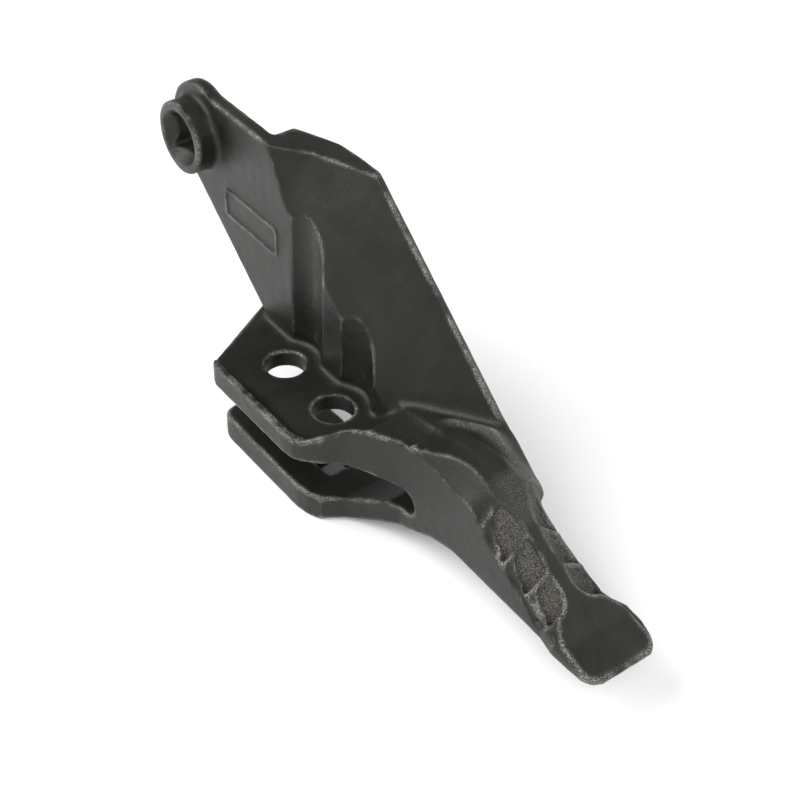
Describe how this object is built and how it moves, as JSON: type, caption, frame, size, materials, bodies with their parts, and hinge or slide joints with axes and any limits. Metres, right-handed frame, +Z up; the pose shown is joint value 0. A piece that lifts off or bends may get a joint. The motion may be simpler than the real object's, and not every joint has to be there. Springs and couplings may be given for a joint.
{
  "type": "excavator bucket side cutter tooth",
  "caption": "Bolt-on side cutter casting for an excavator bucket: a fork that straddles the lip plate, a stepped digging tooth, and a raked wing with a countersunk bolt boss.",
  "frame": {"origin": "on the fork's seat against the top of the bucket's lip plate, midway between the two lip bolts", "axes": "+X forward to the tooth's tip, +Y outward to the bucket's side plate, +Z up along the lip bolts"},
  "size_m": [0.406, 0.0871, 0.1765],
  "materials": {
    "painted_casting": "satin black paint over a sand-cast surface"
  },
  "bodies": {
    "root": {"side_cutter_casting": "painted_casting"}
  },
  "joints": []
}
